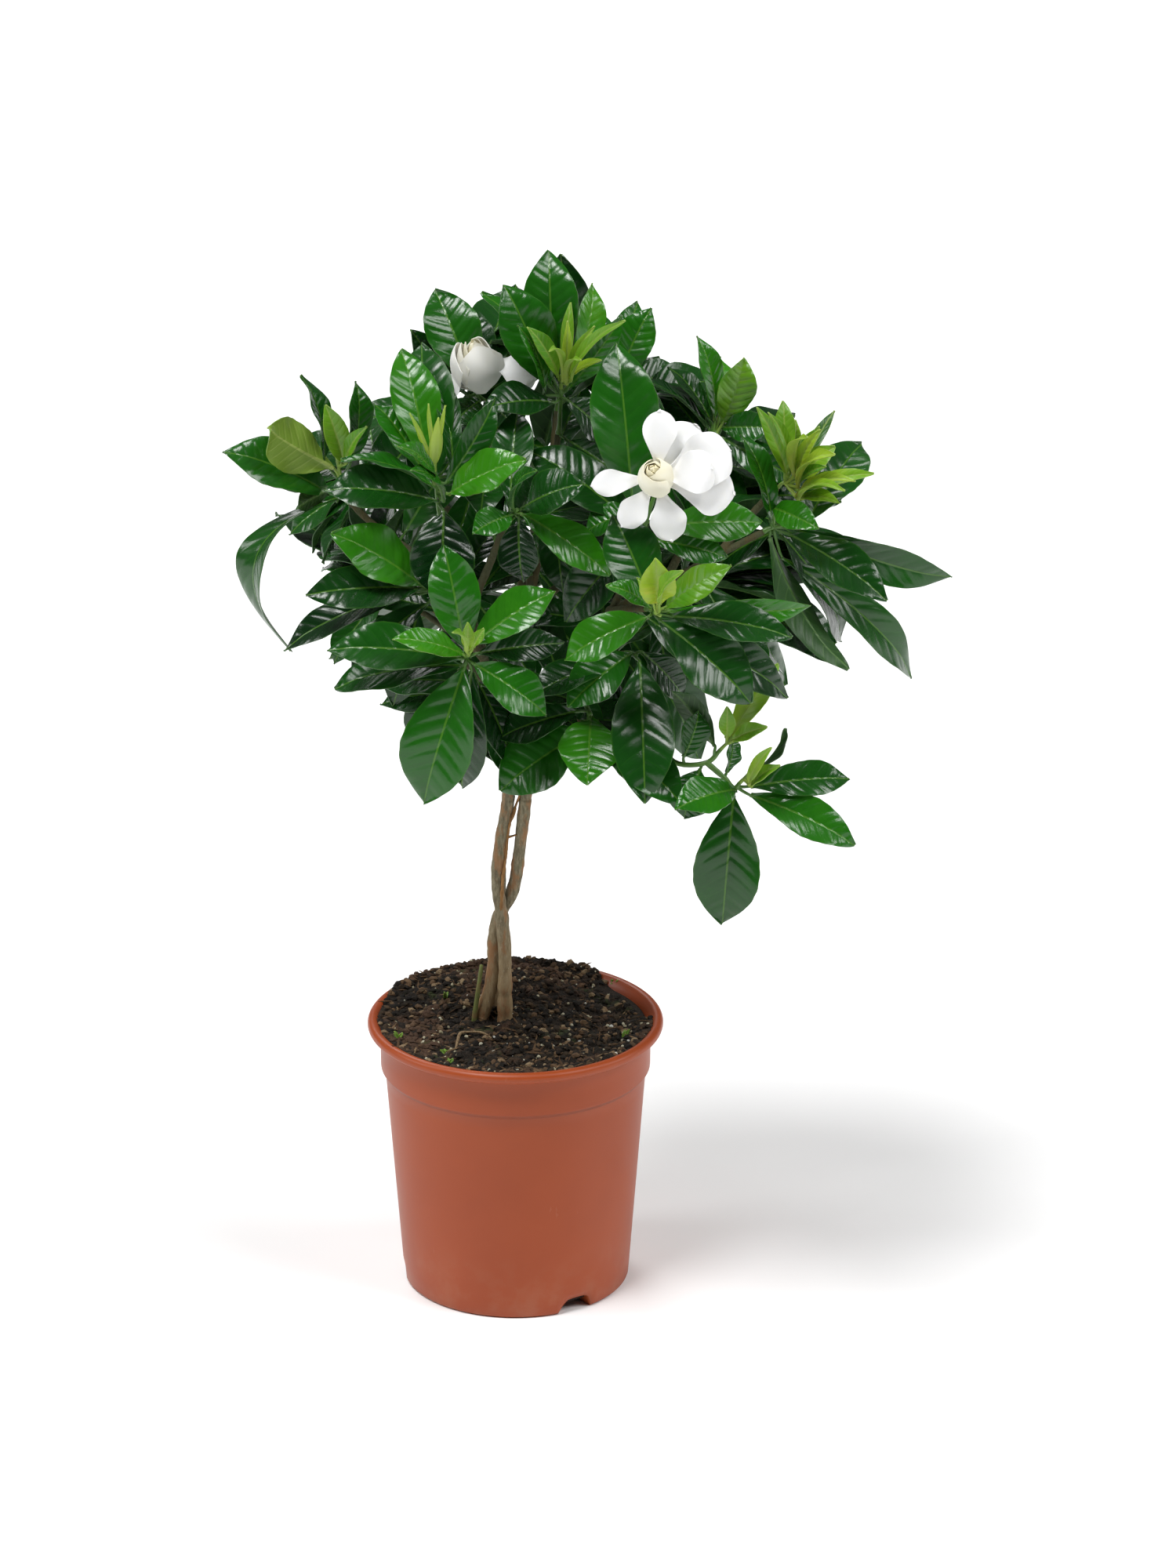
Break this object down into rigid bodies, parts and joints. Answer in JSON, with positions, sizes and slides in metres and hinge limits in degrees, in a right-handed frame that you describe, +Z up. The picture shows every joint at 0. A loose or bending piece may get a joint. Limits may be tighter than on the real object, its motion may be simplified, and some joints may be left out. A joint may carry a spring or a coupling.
{
  "type": "potted gardenia",
  "caption": "Braided-stem gardenia bush in a plain tapered nursery pot, with glossy leaves and white blooms.",
  "frame": {"origin": "centre of the pot's foot, on the surface that the pot stands on", "axes": "+Z up along the pot's axis, -Y towards the side of the plant shown in the picture, +X to the right"},
  "size_m": [0.4014, 0.2865, 0.6119],
  "materials": {
    "pot": "satin moulded plastic, clay colour, lightly scuffed",
    "soil": "moist peat and bark crumbs with white perlite",
    "bark": "grey-brown young bark, matt",
    "green_bark": "olive green shoot, smooth",
    "leaf": "glossy dark green leaf, paler underneath",
    "young_leaf": "satin yellow-green new growth",
    "petal": "soft white petals, cream at the heart"
  },
  "bodies": {
    "root": {"pot": "pot", "soil": "soil", "stem_left": "bark", "stem_right": "bark", "stem_back": "bark", "stem_side": "green_bark", "bloom_open": "petal", "bloom_half": "petal", "calyx_open": "young_leaf", "calyx_half": "young_leaf", "flower_bud": "young_leaf", "spray_far_left": "leaf", "young_far_left": "young_leaf", "spray_left_mid": "leaf", "spray_left_bud": "leaf", "spray_front_low_left": "leaf", "young_front_low_left": "young_leaf", "spray_centre_mid": "leaf", "spray_centre_hang": "leaf", "spray_centre_low": "leaf", "spray_front_low_right": "leaf", "young_front_low_right": "young_leaf", "spray_dangling": "leaf", "young_dangling": "young_leaf", "young_dangling_fork": "young_leaf", "spray_right_low": "leaf", "spray_right_back": "leaf", "spray_bloom_open": "leaf", "spray_bloom_half": "leaf", "spray_top": "leaf", "young_top": "young_leaf", "spray_top_right": "leaf", "young_right": "young_leaf", "spray_left_inner": "leaf", "spray_right_inner": "leaf", "spray_back_left_low": "leaf", "spray_back_left": "leaf", "spray_back_left_high": "leaf", "spray_back_mid_low": "leaf", "spray_back_mid": "leaf", "spray_back_high": "leaf", "spray_back_right_low": "leaf", "spray_back_right": "leaf"}
  },
  "joints": []
}
